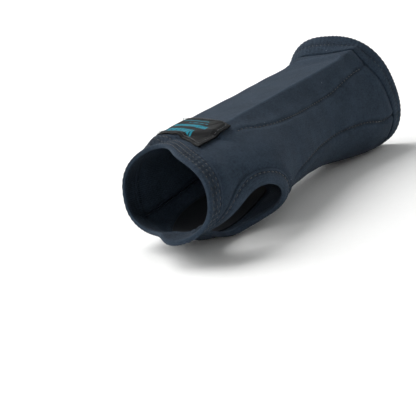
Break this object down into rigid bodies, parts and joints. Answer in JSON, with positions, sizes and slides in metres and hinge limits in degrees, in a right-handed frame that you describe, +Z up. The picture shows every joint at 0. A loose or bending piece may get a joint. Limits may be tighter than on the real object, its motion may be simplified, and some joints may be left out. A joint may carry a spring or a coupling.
{
  "type": "wrist splint",
  "caption": "Pull-on knit wrist splint for the right hand, with a thumb hole, a stay in a pocket on the back and a pad under the heel of the hand.",
  "frame": {"origin": "middle of the bounding box, on the floor that the pad and the cuff rest on", "axes": "+Y from the hand opening to the forearm opening, +Z up towards the back of the hand, +X to the thumb side"},
  "size_m": [0.087, 0.2232, 0.0732],
  "materials": {
    "knit": "matt blue-black cotton and elastane jersey",
    "binding": "matt folded jersey binding",
    "lining": "matt smooth black lining",
    "thread": "twisted polyester thread",
    "label_weave": "damask-woven black label with teal bars",
    "stay_plastic": "natural polyethylene strip",
    "pad_foam": "open-cell cushioning foam"
  },
  "bodies": {
    "sleeve": {"dorsal_panel": "knit", "palmar_panel": "knit", "hand_hem": "knit", "forearm_hem": "knit", "thumb_hole_binding": "binding", "stay_pocket_lining": "lining", "palm_pad_cover": "lining", "palm_pad_foam": "pad_foam", "label": "label_weave", "label_stitching": "thread", "hand_hem_outer_stitching": "thread", "hand_hem_inner_stitching": "thread", "forearm_hem_stitching": "thread", "thumb_hole_stitching": "thread", "thumb_side_seam": "thread", "little_finger_side_seam": "thread", "pocket_stitching_thumb_side": "thread", "pocket_stitching_little_finger_side": "thread"},
    "stay": {"stay": "stay_plastic"}
  },
  "joints": [
    {"name": "stay_pull_out", "type": "slide", "parent": "sleeve", "child": "stay", "axis": [0, 0.9984, 0.0572], "range_m": [0, 0.155]}
  ]
}
